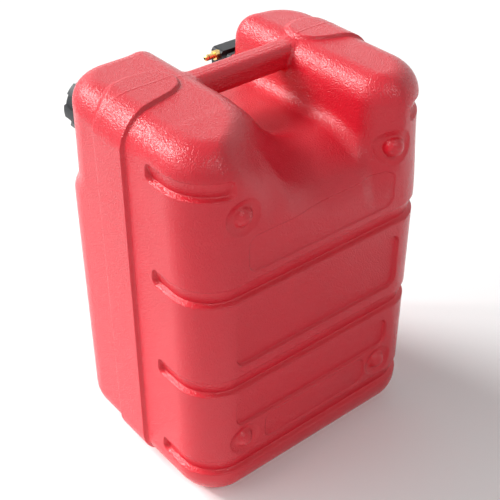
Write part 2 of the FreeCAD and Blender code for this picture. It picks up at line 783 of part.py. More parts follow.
def gauge_lens():
    base = hood_top - lens_thickness - bezel_height
    disc = rod(lens_radius, lens_thickness, Vec(0, dial_v, base))
    return front_fitting(disc, gauge_x, gauge_z)


def gauge_bezel():
    base = hood_top - bezel_height
    ring = rod(lens_radius, bezel_height + 0.6, Vec(0, dial_v, base))
    ring = ring.cut(rod(lens_radius - bezel_width, bezel_height + 0.6, Vec(0, dial_v, base)))
    return front_fitting(ring, gauge_x, gauge_z)


def gauge_needle():
    """Pointer pressed on the end of the twisted strip's shaft."""
    base = well_w + dial_thickness + 0.8
    hub = rod(2.2, needle_height, Vec(0, dial_v, base))
    arm = Part.Face(Part.makePolygon([
        Vec(-1.0, dial_v - 3.5, base), Vec(1.0, dial_v - 3.5, base),
        Vec(0.35, dial_v + needle_length, base), Vec(-0.35, dial_v + needle_length, base),
        Vec(-1.0, dial_v - 3.5, base)])).extrude(Vec(0, 0, needle_height * 0.6))
    needle = hub.fuse(arm).cut(rod(shaft_radius, needle_height, Vec(0, dial_v, base)))
    needle.rotate(Vec(0, dial_v, 0), Vec(0, 0, 1), 135.0)
    return front_fitting(needle, gauge_x, gauge_z)


def twisted_strip():
    """Flat strip with an even twist, which the float turns as it rises."""
    top = plug_w - collar_length - 0.2
    low = -strip_end
    step = 7.5
    count = int(math.ceil((top - low) / step))
    sections = []
    for index in range(count + 1):
        height = low + (top - low) * index / count
        angle = strip_twist * (height - (driver_thickness / 2.0 - float_rest))
        corners = [Vec(-strip_width / 2.0, -strip_thickness / 2.0, height),
                   Vec(strip_width / 2.0, -strip_thickness / 2.0, height),
                   Vec(strip_width / 2.0, strip_thickness / 2.0, height),
                   Vec(-strip_width / 2.0, strip_thickness / 2.0, height)]
        section = Part.makePolygon(corners + corners[:1])
        section.rotate(Vec(0, 0, 0), Vec(0, 0, 1), angle)
        sections.append(section)
    strip = Part.makeLoft(sections, True, False)
    strip.translate(Vec(0, dial_v, 0))
    collar = rod(collar_radius, collar_length, Vec(0, dial_v, top))
    needle_base = well_w + dial_thickness + 0.8
    shaft = rod(shaft_radius, needle_base + needle_height - top, Vec(0, dial_v, top))
    pivot = rod(pivot_radius, foot_plate_thickness + 1.0, Vec(0, dial_v, low - foot_plate_thickness))
    return front_fitting(strip.fuse([collar, shaft, pivot]), gauge_x, gauge_z)


def guide_rods():
    """Two thin rods that keep the float from turning, one group."""
    bottom = foot_plate_w - foot_plate_thickness
    rods = []
    for offset in (-rod_offset, rod_offset):
        wire = rod(rod_radius, plug_w + rod_socket - bottom, Vec(0, dial_v + offset, bottom))
        rods.append(front_fitting(wire, gauge_x, gauge_z))
    return Part.makeCompound(rods)


def guide_foot():
    """Plate across the far ends of the guide rods, clipped to the pick-up tube."""
    base = foot_plate_w - foot_plate_thickness
    low_v = dial_v - rod_offset - 2.2
    high_v = tube_v + tube_radius + 1.2
    plate = rounded_prism(-foot_plate_half_width - 1.0, foot_plate_half_width + 1.0, low_v, high_v, 3.0,
                          base, foot_plate_thickness)
    plate = plate.cut(rod(tube_radius + tube_clip_gap, foot_plate_thickness, Vec(0, tube_v, base)))
    plate = plate.cut(rod(pivot_radius + shaft_gap, foot_plate_thickness, Vec(0, dial_v, base)))
    for offset in (-rod_offset, rod_offset):
        plate = plate.cut(rod(rod_radius, foot_plate_thickness, Vec(0, dial_v + offset, base)))
    return front_fitting(plate, gauge_x, gauge_z)


def float_body():
    base = -float_rest - float_length
    body = rod(float_radius, float_length, Vec(0, dial_v, base))
    body = body.cut(rod(float_bore, float_length, Vec(0, dial_v, base)))
    for offset in (-rod_offset, rod_offset):
        body = body.cut(rod(rod_radius + rod_gap, float_length, Vec(0, dial_v + offset, base)))
    return front_fitting(body, gauge_x, gauge_z)


def float_driver():
    """Slotted plate on the float, which turns the strip."""
    plate = rod(driver_radius, driver_thickness, Vec(0, dial_v, -float_rest))
    slot_width = strip_width + 2.0 * driver_slot_gap
    slot_height = strip_thickness + 2.0 * driver_slot_gap
    slot = Part.makeBox(slot_width, slot_height, driver_thickness,
                        Vec(-slot_width / 2.0, dial_v - slot_height / 2.0, -float_rest))
    return front_fitting(plate.cut(slot), gauge_x, gauge_z)


# ---- pick-up and outlet ---------------------------------------------------------------------
def pickup_tube():
    length = plug_w + tube_socket + tube_end
    tube = rod(tube_radius, length, Vec(0, tube_v, -tube_end))
    tube = tube.cut(rod(tube_bore, length, Vec(0, tube_v, -tube_end)))
    return front_fitting(tube, gauge_x, gauge_z)


def pickup_strainer():
    """Slotted strainer cup pushed over the open end of the pick-up tube."""
    base = -tube_end - strainer_below
    cup = rod(strainer_radius, strainer_length, Vec(0, tube_v, base))
    inside = rod(strainer_radius - strainer_wall, strainer_length, Vec(0, tube_v, base + strainer_wall))
    collar_base = base + strainer_length - strainer_collar
    collar = rod(strainer_radius, strainer_collar, Vec(0, tube_v, collar_base))
    collar = collar.cut(rod(tube_radius, strainer_collar, Vec(0, tube_v, collar_base)))
    cup = cup.cut(inside).fuse(collar)
    for index in range(strainer_slots):
        slot = Part.makeBox(3.0 * strainer_wall, strainer_slot_width,
                            strainer_length - strainer_collar - 3.0 * strainer_wall,
                            Vec(strainer_radius - 2.0 * strainer_wall, -strainer_slot_width / 2.0,
                                base + 2.0 * strainer_wall))
        slot.rotate(Vec(0, 0, 0), Vec(0, 0, 1), 360.0 * index / strainer_slots)
        slot.translate(Vec(0, tube_v, 0))
        cup = cup.cut(slot)
    return front_fitting(cup, gauge_x, gauge_z)


def side_fitting(shape, v):
    """Turns a piece drawn along +Z so that it points out of the head's left side."""
    placed = shape.copy()
    placed.rotate(Vec(0, 0, 0), Vec(0, 1, 0), 90.0)
    placed.translate(Vec(gauge_x + hood_left, -passage_w, gauge_z + v))
    return placed


def fuel_outlet():
    """Brass nozzle that the fuel line's connector pushes onto."""
    shank = rod(outlet_shank_radius, outlet_shank_length, Vec(0, 0, -outlet_shank_length))
    corner = outlet_hex_flats / math.sqrt(3.0)
    turns = [math.radians(60.0 * k) for k in range(7)]
    points = [Vec(corner * math.cos(turn), corner * math.sin(turn), 0) for turn in turns]
    hexagon = Part.Face(Part.makePolygon(points)).extrude(Vec(0, 0, outlet_hex_height))
    hexagon = hexagon.common(Part.makeCone(corner + 1.6, corner - 0.5, outlet_hex_height))
    straight = outlet_nozzle_length - outlet_nose
    nozzle = rod(outlet_nozzle_radius, straight, Vec(0, 0, outlet_hex_height))
    nose = Part.makeCone(outlet_nozzle_radius, outlet_nozzle_radius - outlet_nose, outlet_nose,
                         Vec(0, 0, outlet_hex_height + straight))
    outlet = shank.fuse([hexagon, nozzle, nose])
    outlet = outlet.cut(ring_torus(outlet_ring_wire + 0.1))
    bore_length = outlet_shank_length + outlet_hex_height + outlet_nozzle_length
    outlet = outlet.cut(rod(outlet_bore, bore_length, Vec(0, 0, -outlet_shank_length)))
    return side_fitting(outlet, outlet_v)


def ring_torus(wire):
    """Ring whose outside is flush with the nozzle."""
    return Part.makeTorus(outlet_nozzle_radius - outlet_ring_wire, wire,
                          Vec(0, 0, outlet_hex_height + outlet_ring_place))


def outlet_ring():
    """Sealing ring in the nozzle's groove."""
    return side_fitting(ring_torus(outlet_ring_wire), outlet_v)


def guide_pin():
    """Plain pin beside the nozzle, which the connector's latch hooks behind."""
    pin = rod(guide_pin_radius, guide_pin_length, Vec(0, 0, 0))
    pin = fillet_level(pin, guide_pin_length, 0.9)
    pin = pin.fuse(rod(guide_pin_root_radius, guide_pin_depth, Vec(0, 0, -guide_pin_depth)))
    groove = rod(guide_pin_radius + 1.0, 2.0, Vec(0, 0, guide_pin_length - 5.0))
    groove = groove.cut(rod(guide_pin_radius - guide_pin_groove, 2.0, Vec(0, 0, guide_pin_length - 5.0)))
    return side_fitting(pin.cut(groove), guide_pin_v)


pieces = {
    "tank_shell": tank_shell,
    "filler_cap": filler_cap,
    "cap_gasket": cap_gasket,
    "vent_screw": vent_screw,
    "vent_clip": vent_clip,
    "vent_seal": vent_seal,
    "head_gasket": head_gasket,
    "gauge_head": gauge_head,
    "head_screws": head_screws,
    "screw_inserts": screw_inserts,
    "gauge_dial": gauge_dial,
    "gauge_lens": gauge_lens,
    "gauge_bezel": gauge_bezel,
    "gauge_needle": gauge_needle,
    "twisted_strip": twisted_strip,
    "guide_rods": guide_rods,
    "guide_foot": guide_foot,
    "float_body": float_body,
    "float_driver": float_driver,
    "pickup_tube": pickup_tube,
    "pickup_strainer": pickup_strainer,
    "fuel_outlet": fuel_outlet,
    "outlet_ring": outlet_ring,
    "guide_pin": guide_pin,
}

os.makedirs("parts", exist_ok=True)
for name, make_piece in pieces.items():
    make_piece().exportStep("parts/" + name + ".step")
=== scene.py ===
import bpy
import bmesh
import math
import numpy as np
from mathutils import Matrix, Vector


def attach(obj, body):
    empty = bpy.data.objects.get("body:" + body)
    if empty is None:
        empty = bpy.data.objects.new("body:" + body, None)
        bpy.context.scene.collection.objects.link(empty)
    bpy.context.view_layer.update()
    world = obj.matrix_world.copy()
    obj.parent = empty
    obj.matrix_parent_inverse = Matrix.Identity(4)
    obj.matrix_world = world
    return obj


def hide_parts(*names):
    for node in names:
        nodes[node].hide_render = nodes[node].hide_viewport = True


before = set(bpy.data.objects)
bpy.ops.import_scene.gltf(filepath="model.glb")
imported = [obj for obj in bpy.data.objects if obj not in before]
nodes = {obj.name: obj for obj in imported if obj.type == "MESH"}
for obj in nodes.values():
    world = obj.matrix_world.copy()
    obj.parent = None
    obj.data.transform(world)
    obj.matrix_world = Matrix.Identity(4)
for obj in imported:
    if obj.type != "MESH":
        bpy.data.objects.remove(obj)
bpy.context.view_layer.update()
MM = 0.001

# ---- moulded body, in millimetres, in the frame's own axes --------------------------------------
# A "span" is the (start, length) of a smooth step from 0 to 1, see over().
half_width = 130.0
half_depth = 104.5
height = 365.0
plan_radius = 40.0
plan_radius_top = 44.0
plan_radius_far = 50.0
plan_top_span = (240.0, 90.0)
plan_far_span = (0.0, 160.0)
bottom_radius = 29.0
bottom_radius_back = 30.0
bottom_back_span = (20.0, 70.0)
base_edge = 1.5
setback = 9.5
setback_span = (256.0, 23.0)
edge_front = 21.0
edge_side = 28.0
edge_far = 25.0
edge_side_span = (-60.0, 120.0)
edge_back_span = (-85.0, 60.0)
edge_block_span = (8.0, 26.0)
face_y = 60.0

# the hand recess between the two blocks
recess_left = 30.0
recess_right = -57.0
recess_middle = (recess_left + recess_right) / 2.0
recess_half = (recess_left - recess_right) / 2.0
recess_floor = 315.0
recess_draft = 0.05
draft_level = 339.0
recess_end = 15.0
wall_end = 31.0
wall_near_span = (-14.0, 18.0)
wall_back_span = (0.0, 60.0)
wall_right_span = (0.0, 40.0)
shoulder_radius = 22.0
shoulder_growth = 14.0
shoulder_span = (40.0, 60.0)
cove_right = 14.0
cove_left = 12.0
cove_growth = 46.0
cove_span = (4.0, 46.0)
flare_left = 20.0
flare_span = (22.0, 73.0)
flare_base = 0.7
flare_rise = 0.3
flare_rise_span = (316.0, 40.0)
flare_end = 18.0
flare_end_span = (58.0, 47.0)
lean_end = 0.1
lean_span = (42.0, 58.0)
lean_level = 350.0
flare_right = 9.0
flare_right_start = 56.0
flare_right_length = 56.5
floor_roll = 0.0150
floor_roll_start = 42.0

# the carrying handle
handle_y = -23.0
handle_half = 12.0
handle_top = 362.0
handle_low = 339.5
handle_radius = 8.0
handle_reach = 62.0
handle_cove = 3.0

# the raised band, its oval ends on top and the parting ridge
band_proud = 3.0
band_near = 11.5
band_far = -31.0
band_step = 6.4
band_step_less = 3.8
band_step_change = 24.0
band_step_middle = 0.46
band_top_span = (handle_low, 8.0)
band_reach = 60.0
band_margin = 8.0
band_outside = 30.0
oval_y = -23.0
oval_half = 22.5
oval_left = 56.0
oval_right = 72.0
oval_round = (9.0, 4.5)
oval_bend = 0.55
oval_spread_near = 6.0
oval_spread_far = -1.5
oval_steps = 10
part_y = -21.5
part_half = 0.8
part_height = 0.3

# grooves that wrap round the back, and two on the front
groove_ledges = (227.5, 131.0, 36.0)
groove_side_y = 40.5
corner_ledge = 326.5
corner_x = 93.0
groove_height = 15.0
groove_depth = 5.0
groove_radius = 5.0
groove_edge = 1.8
groove_edge_more = 1.6
groove_edge_change = 6.0
groove_flat = 0.25
groove_slope = 0.75
front_ledges = (176.0, 96.0)
front_groove_height = 12.0
front_groove_half = 84.0
front_groove_depth = 4.0
front_groove_radius = 5.5
front_groove_edge = 2.5

# recessed panels of the back: low x, high x, low z, high z, depth
panels = (
    (-80.0, 80.0, 250.0, 284.0, 1.4),
    (-92.0, 93.0, 157.0, 213.0, 3.0),
    (-86.0, 94.0, 88.0, 119.0, 2.5),
    (-60.0, 62.0, 54.0, 84.0, 1.4),
)
panel_corner = 9.0
panel_edge = 1.5

# domed feet of the back, each in a shallow dish
feet = ((85.0, 306.0), (-79.0, 306.0), (85.0, 69.5), (-79.0, 69.5))
foot_ball = 9.2
foot_centre_y = 99.25
foot_cove = 1.5
foot_dish = 16.5
foot_dish_depth = 2.8

# the filler's neck; its rim and foot are (how far out, how high) over the neck's wall
filler_x = 78.0
filler_z = 309.0
bore_radius = 18.6
bore_end = -40.0
neck_bore = 17.8
neck_outer = 20.9
neck_rim = 118.5
neck_end = 80.0
neck_round = ((0.0, -1.0), (0.3, -0.3), (1.0, 0.0))
neck_foot = ((0.0, 97.0), (0.6, 95.6), (2.0, 94.9), (2.0, 92.0), (-2.0, 90.0), (-2.0, neck_end))
neck_steps = 96
thread_start = 105.5
thread_pitch = 6.0
thread_turns = 1.6
thread_steps = 72
thread_fade = 9.0
thread_tall = 1.5
thread_crest = 0.7
thread_root = 1.3
thread_sunk = -0.4
thread_tip = 0.3
thread_tip_rest = 0.7

# the gauge's seat, in layers of (growth, height), and the spaces behind it
gauge_x = -84.0
gauge_z = 302.0
port_radius = 15.0
port_end = -80.0
pad_half = (25.0, 21.0)
pad_corner = 4.0
pad_corner_steps = 8
pad_root = 82.0
pad_face = 97.0
pad_layers = ((0.0, pad_root), (0.0, pad_face - 0.6), (-0.2, pad_face - 0.2), (-0.6, pad_face))
chamber_half = 11.0
chamber_below = 15.0
chamber_above = 17.0
chamber_radius = 6.0
chamber_reach = 86.0
well_z = 311.5
well_radius = 6.5
well_y = 85.0
well_half = 12.5

# ---- print on the gauge's dial, in metres -------------------------------------------------------
dial_place = (gauge_x * MM, 0.298)
dial_start = -135.0
dial_sweep = 270.0
ink_low = -0.11525
ink_high = -0.11545
ticks = 8
tick_outer = 0.0110
tick_long = (0.0089, 0.00028)
tick_short = (0.0098, 0.00018)
arc_steps = 54
arc_inner = 0.01085
arc_outer = 0.01115
last_number = 4
number_size = 0.0034
number_radius = 0.0068
number_half = 0.0001
number_curves = 6

# ---- mesh of the body, in millimetres -----------------------------------------------------------
mesh_step = 2.2
mesh_margin_low = (6.3, 4.3, 4.1)
mesh_margin_high = (8.0, 9.0, 9.0)
coarse_rounds = 2
fine_rounds = 3
sharp_angle = math.radians(35.0)

# ---- finish of the materials, lengths in metres -------------------------------------------------
tint_stops = (0.3, 0.7)
cloud_scale = 22.0
cloud_detail = 3.0
pebble_detail = 0.8
pebble_depth = 0.0005
gloss_spread = 0.06
brush_stops = (0.35, 0.65)
brush_dark = 0.8
brush_detail = 4.0
brush_gloss = (-0.08, 0.1)
brush_relief = 0.15
brush_depth = 0.0001
window_index = 1.49
window_gloss = (0.02, 0.08)
window_tints = ((0.92, 0.94, 0.94), (0.97, 0.98, 0.98))
smear_scale = 160.0
smear_detail = 2.0

# ---- camera, fitted to the reference view, in metres --------------------------------------------
camera_place = (0.4886, 0.6064, 0.7413)
camera_target = (-0.0024, 0.0031, 0.1794)
camera_lens = 74.16
camera_sensor = 36.0

# ---- light --------------------------------------------------------------------------------------
sky_level = 0.18
key_from = (0.39, -0.73, 0.56)
key_level = 3.1
key_angle = 26.0
wide_from = (0.78, -0.36, 0.50)
wide_level = 1.15
wide_angle = 50.0
box_from = (-0.95, -1.55, 0.85)
box_at = (0.0, 0.0, 0.3)
box_size = (1.6, 0.5)
box_level = 1.2
floor_lamp_from = (1.30, -1.30, 1.10)
floor_lamp_at = (0.34, -0.46, 0.0)
floor_lamp_power = 80.0
floor_lamp_cone = 38.0
floor_lamp_radius = 0.1
second_from = (0.14, 0.63, 0.77)
second_level = 0.6
second_angle = 9.0
floor_half = 3.0
floor_white = 0.9
floor_glow = 0.06


# ---- distance field helpers ---------------------------------------------------------------------
def ramp(value):
    """Smooth step from 0 to 1."""
    t = np.clip(value, 0.0, 1.0)
    return t * t * (3.0 - 2.0 * t)


def over(value, span):
    """Smooth step from 0 to 1 over a span of (start, length)."""
    return ramp((value - span[0]) / span[1])


def inside(distance, width, middle=0.5):
    """Smooth step from 0 outside an outline to 1 inside it."""
    return ramp(middle - distance / width)


def round_max(a, b, radius):
    """Intersection of two fields with a rounded outer edge."""
    outside = np.hypot(np.maximum(a + radius, 0.0), np.maximum(b + radius, 0.0))
    return np.minimum(-radius, np.maximum(a, b)) + outside


def round_min(a, b, radius):
    """Union of two fields with a rounded inner corner."""
    within = np.hypot(np.maximum(radius - a, 0.0), np.maximum(radius - b, 0.0))
    return np.maximum(radius, np.minimum(a, b)) - within


def corner_distance(qu, qv, radius):
    """Distance to a rounded corner, from the offsets to the corner's centre."""
    outside = np.hypot(np.maximum(qu, 0.0), np.maximum(qv, 0.0))
    return outside + np.minimum(np.maximum(qu, qv), 0.0) - radius


def flat_box(u, v, low_u, high_u, low_v, high_v, radius):
    """Signed distance to a rounded rectangle in a plane."""
    qu = np.abs(u - (low_u + high_u) / 2.0) - (high_u - low_u) / 2.0 + radius
    qv = np.abs(v - (low_v + high_v) / 2.0) - (high_v - low_v) / 2.0 + radius
    return corner_distance(qu, qv, radius)


def hermite(points, tangents, count):
    """Smooth plane curve through the points, with the given end tangents."""
    p = np.array(points, float)
    chord = np.hypot(*(p[1:] - p[:-1]).T)
    inner = (p[2:] - p[:-2]) / (chord[1:] + chord[:-1])[:, None]
    slope = np.vstack([tangents[0], inner, tangents[1]])
    out = []
    for i in range(len(p) - 1):
        t = np.linspace(0.0, 1.0, count, endpoint=False)[:, None]
        a, b = slope[i] * chord[i], slope[i + 1] * chord[i]
        out.append((2 * t ** 3 - 3 * t ** 2 + 1) * p[i] + (t ** 3 - 2 * t ** 2 + t) * a
                   + (-2 * t ** 3 + 3 * t ** 2) * p[i + 1] + (t ** 3 - t ** 2) * b)
    out.append(p[-1:])
    return np.vstack(out)


def polygon_distance(x, y, outline):
    """Signed distance to a closed polygon, negative inside."""
    tiny, huge = 1e-12, 1e9
    best = np.full(x.shape, huge)
    within = np.zeros(x.shape, bool)
    for (ax, ay), (bx, by) in zip(outline, np.roll(outline, -1, axis=0)):
        ex, ey = bx - ax, by - ay
        t = np.clip(((x - ax) * ex + (y - ay) * ey) / (ex * ex + ey * ey + tiny), 0.0, 1.0)
        best = np.minimum(best, (x - ax - t * ex) ** 2 + (y - ay - t * ey) ** 2)
        crosses = (ay > y) != (by > y)
        slant = ax + (y - ay) * ex / (ey if abs(ey) > tiny else tiny)
        within ^= crosses & (x < slant)
    return np.where(within, -1.0, 1.0) * np.sqrt(best)


# ---- the body's field ---------------------------------------------------------------------------
def band_outline(inner):
    """Outline of the raised band at one side, seen from above, x counted outwards."""
    bend = inner + oval_bend * (half_width - inner)
    along, across = oval_round
    near, far = [
        hermite([(inner, oval_y), (inner + along, oval_y + way * (oval_half - across)),
                 (bend, oval_y + way * (oval_half + spread)), (half_width, end)],
                [(0.0, way), (1.0, 0.0)], oval_steps)
        for way, spread, end in ((1.0, oval_spread_near, band_near),
                                 (-1.0, oval_spread_far, band_far))]
    ends = [(half_width + band_outside, band_near), (half_width + band_outside, band_far)]
    return np.vstack([near, ends, far[:0:-1]])


bands = ((1.0, band_outline(oval_left), oval_left), (-1.0, band_outline(oval_right), oval_right))


def band_distance(x, y):
    """Signed distance to the band's outlines, seen from above; only exact near them."""
    distance = np.full(x.shape, band_reach)
    for side, outline, inner in bands:
        near = (side * x > inner - band_margin) & (np.abs(y - oval_y) < band_reach)
        distance[near] = polygon_distance(side * x[near], y[near], outline)
    return distance


def plan_distance(x, y, z):
    """Distance to the four upright walls, with the front's upper part set back."""
    front = -half_depth + setback * over(z, setback_span)
    upper = plan_radius_top + (plan_radius_far - plan_radius_top) * over(y - x, plan_far_span)
    radius = plan_radius + (upper - plan_radius) * over(z, plan_top_span)
    qx = np.abs(x) - half_width + radius
    qy = np.abs(y - (half_depth + front) / 2.0) - (half_depth - front) / 2.0 + radius
    return corner_distance(qx, qy, radius)


def recess_profile(x, y, z):
    """Field of the material under the top, with the hand recess between the two blocks."""
    draft = recess_draft * (z - draft_level)
    tall = flare_base + flare_rise * over(z, flare_rise_span)
    left_x = recess_left + draft + flare_left * over(y, flare_span) * tall
    left_x = left_x + flare_end * over(y, flare_end_span)
    left_x = left_x + lean_end * over(y, lean_span) * (z - lean_level)
    back = np.maximum(y - flare_right_start, 0.0) / flare_right_length
    right_x = recess_right - draft - flare_right * back ** 2
    shoulder = shoulder_radius + shoulder_growth * over(y, shoulder_span)
    left = round_max(left_x - x, z - height, shoulder)
    right = round_max(x - right_x, z - height, shoulder_radius)
    rolled = floor_roll * np.maximum(y - floor_roll_start, 0.0)
    floor = (z - recess_floor + 0.5 * rolled ** 2 / floor_roll) / np.sqrt(1.0 + rolled ** 2)
    under = round_min(left, floor, cove_left + cove_growth * over(y, cove_span))
    return round_min(under, right, cove_right)


def edge_radius(x, y):
    """Radius of the outer edge: that of the blocks, or of the recess's two ends."""
    side = edge_far + (edge_side - edge_far) * over(x, edge_side_span)
    block = edge_front + (side - edge_front) * over(y, edge_back_span)
    away = np.abs(x - recess_middle) - recess_half
    wall = (wall_end - recess_end) * over(away, wall_near_span) * over(y, wall_back_span)
    wall = recess_end + wall * over(-x, wall_right_span)
    return wall + (block - wall) * over(away, edge_block_span)


def handle_bar(x, y, z):
    """Field of the handle, a rounded bar across the recess and into both blocks."""
    bar = flat_box(y, z, handle_y - handle_half, handle_y + handle_half,
                   handle_low, handle_top, handle_radius)
    return np.maximum(bar, np.abs(x - recess_middle) - handle_reach)


def band_rise(x, y, z):
    """How far the band stands proud; its step is softer towards the front."""
    width = band_step - band_step_less * inside(oval_y - y, band_step_change)
    proud = band_proud - part_height * over(z, band_top_span)
    return proud * inside(band_distance(x, y), width, band_step_middle)


def part_rise(y, z):
    """How far the parting ridge stands over the band's top."""
    ridge = part_height * np.exp(-((y - part_y) / part_half) ** 2)
    return ridge * over(z, band_top_span)


def groove_offset(z, ledge, end):
    """How far one wrap-round groove lies below the surface; end is negative along it."""
    middle = z - ledge - groove_height / 2.0
    across = np.abs(middle) - groove_height / 2.0
    width = groove_edge + groove_edge_more * inside(middle, groove_edge_change)
    slope = np.clip(1.0 - (z - ledge) / groove_height, 0.0, 1.0)
    mask = inside(round_max(end, across, groove_radius), width)
    return groove_depth * (groove_flat + groove_slope * slope) * mask


def hollow_space(x, y, z):
    """Field of the filler's bore, the gauge's port and the spaces that the gauge needs."""
    bore = np.maximum(np.hypot(x - filler_x, z - filler_z) - bore_radius, y - bore_end)
    port = np.maximum(np.hypot(x - gauge_x, z - gauge_z) - port_radius, y - port_end)
    chamber = flat_box(x, z, gauge_x - chamber_half, gauge_x + chamber_half,
                       gauge_z - chamber_below, gauge_z + chamber_above, chamber_radius)
    chamber = np.maximum(chamber, np.abs(y) - chamber_reach)
    well = np.maximum(np.hypot(x - gauge_x, z - well_z) - well_radius,
                      np.abs(y - well_y) - well_half)
    return np.minimum(np.minimum(bore, port), np.minimum(chamber, well))


def body_field(x, y, z):
    """Field of the whole moulded body, negative inside and about a distance near the skin."""
    bottom = bottom_radius + (bottom_radius_back - bottom_radius) * over(y, bottom_back_span)
    d = round_max(plan_distance(x, y, z), recess_profile(x, y, z), edge_radius(x, y))
    d = round_max(d, -z, bottom)
    d = round_min(d, handle_bar(x, y, z), handle_cove)
    d = d - band_rise(x, y, z)
    d = d - part_rise(y, z)
    for ledge in groove_ledges:
        d = d + groove_offset(z, ledge, groove_side_y - y)
    corner = np.maximum(groove_side_y - y, corner_x - np.abs(x))
    d = d + groove_offset(z, corner_ledge, corner)
    for ledge in front_ledges:
        slot = flat_box(x, z, -front_groove_half, front_groove_half,
                        ledge, ledge + front_groove_height, front_groove_radius)
        d = d + front_groove_depth * inside(slot, front_groove_edge) * (y < -face_y)
    for low_x, high_x, low_z, high_z, depth in panels:
        plate = flat_box(x, z, low_x, high_x, low_z, high_z, panel_corner)
        d = d + depth * inside(plate, panel_edge) * (y > face_y)
    for foot_x, foot_z in feet:
        away = np.hypot(x - foot_x, z - foot_z)
        dish = foot_dish_depth * np.clip(1.0 - (away / foot_dish) ** 4, 0.0, 1.0)
        d = d + dish * (y > face_y)
        ball = np.sqrt((x - foot_x) ** 2 + (y - foot_centre_y) ** 2 + (z - foot_z) ** 2)
        d = round_min(d, ball - foot_ball, foot_cove)
    d = round_max(d, -z, base_edge)
    return np.maximum(d, -hollow_space(x, y, z))


# ---- from field to mesh -------------------------------------------------------------------------
def near_values(field, gx, gy, gz, step):
    """Field values on the grid: exact near the surface, and only the right side elsewhere."""
    skip, reach = 4, 2.2
    coarse = (slice(None, None, skip),) * 3
    rough = field(gx[coarse].ravel(), gy[coarse].ravel(), gz[coarse].ravel())
    rough = rough.reshape(gx[coarse].shape)
    for axis in range(3):
        rough = np.repeat(rough, skip, axis=axis)
    value = rough[tuple(slice(0, n) for n in gx.shape)].copy()
    near = np.abs(value) < reach * skip * step
    value[near] = field(gx[near], gy[near], gz[near])
    return value


def edge_crossings(value, sign, cells):
    """Sum and number of the sign changes on each cell's twelve edges, in cell units."""
    total = np.zeros(cells + [3])
    count = np.zeros(cells)

    def at_corner(array, c):
        return array[c[0]:c[0] + cells[0], c[1]:c[1] + cells[1], c[2]:c[2] + cells[2]]

    for a in [(i, j, k) for i in (0, 1) for j in (0, 1) for k in (0, 1)]:
        for axis in range(3):
            if a[axis]:
                continue
            b = tuple(c + (n == axis) for n, c in enumerate(a))
            va, vb = at_corner(value, a), at_corner(value, b)
            hit = at_corner(sign, a) != at_corner(sign, b)
            t = np.where(hit, va / np.where(hit, va - vb, 1.0), 0.0)
            for n in range(3):
                total[..., n] += np.where(hit, a[n] + (t if n == axis else 0.0), 0.0)
            count += hit
    return total, count


def axis_quads(sign, index, cells, axis):
    """Quads round the grid edges along one axis whose two ends have different signs."""
    u, v = [n for n in range(3) if n != axis]
    before = [slice(1, c) for c in cells]
    before[axis] = slice(0, cells[axis])
    after = list(before)
    after[axis] = slice(1, cells[axis] + 1)
    low_end = sign[tuple(before)]
    where = np.argwhere(low_end != sign[tuple(after)])
    quad = []
    for du, dv in ((0, 0), (1, 0), (1, 1), (0, 1)):
        cell = where.copy()
        cell[:, u] += 1 - du
        cell[:, v] += 1 - dv
        quad.append(index[tuple(cell.T)])
    quad = np.stack(quad, axis=1)
    outward = low_end[tuple(where.T)]
    flip = outward if axis == 1 else ~outward
    quad[flip] = quad[flip][:, ::-1]
    return quad


def field_mesh(field, low, high, step):
    """Closed quad mesh where the field changes sign, one vertex to a cell."""
    axes = [np.arange(a, b + step, step) for a, b in zip(low, high)]
    value = near_values(field, *np.meshgrid(*axes, indexing="ij"), step)
    sign = value < 0.0
    cells = [s - 1 for s in value.shape]
    total, count = edge_crossings(value, sign, cells)
    used = count > 0
    index = np.full(cells, -1)
    index[used] = np.arange(used.sum())
    base = np.stack(np.meshgrid(*[np.arange(c) for c in cells], indexing="ij"), axis=-1)
    start = np.array([a[0] for a in axes])
    place = (base[used] + total[used] / count[used][:, None]) * step + start
    return place, np.vstack([axis_quads(sign, index, cells, axis) for axis in range(3)])


def subdivide(points, quads):
    """Splits each quad into four, with linear midpoints."""
    edges = np.stack([quads, np.roll(quads, -1, axis=1)], axis=-1).reshape(-1, 2)
    unique, back = np.unique(np.sort(edges, axis=1), axis=0, return_inverse=True)
    back = back.reshape(-1, 4) + len(points)
    middle = np.arange(len(quads)) + len(points) + len(unique)
    placed = np.vstack([points, points[unique].mean(axis=1), points[quads].mean(axis=1)])
    small = [np.stack([quads[:, i], back[:, i], middle, back[:, i - 1]], axis=1)
             for i in range(4)]
    return placed, np.vstack(small)


def settle(field, points, rounds, most):
    """Moves the points onto the field's zero surface, each by no more than most a round."""
    nudge, least_slope, tiny = 0.2, 0.2, 1e-9
    for _ in range(rounds):
        value = field(*points.T)
        slope = [field(*(points + nudge * e).T) - value for e in np.eye(3)]
        slope = np.stack(slope, axis=1) / nudge
        size = np.maximum((slope ** 2).sum(axis=1), least_slope)
        move = -slope * (value / size)[:, None]
        length = np.linalg.norm(move, axis=1, keepdims=True)
        points = points + move * np.minimum(1.0, most / np.maximum(length, tiny))
    return points


def field_normals(field, points):
    """Unit normals at the points, from the field's slope."""
    nudge, tiny = 0.3, 1e-9
    slope = [field(*(points + nudge * e).T) - field(*(points - nudge * e).T) for e in np.eye(3)]
    slope = np.stack(slope, axis=1)
    return slope / np.maximum(np.linalg.norm(slope, axis=1, keepdims=True), tiny)


def linked(name, data):
    """New object with the data, in the scene."""
    obj = bpy.data.objects.new(name, data)
    bpy.context.scene.collection.objects.link(obj)
    return obj


def mesh_object(name, points, faces, normals=None):
    """Smooth mesh object from points in millimetres."""
    mesh = bpy.data.meshes.new(name)
    mesh.from_pydata((np.asarray(points) * MM).tolist(), [], np.asarray(faces).tolist())
    mesh.update()
    obj = linked(name, mesh)
    mesh.shade_smooth()
    if normals is not None:
        mesh.normals_split_custom_set_from_vertices(normals.tolist())
    return obj


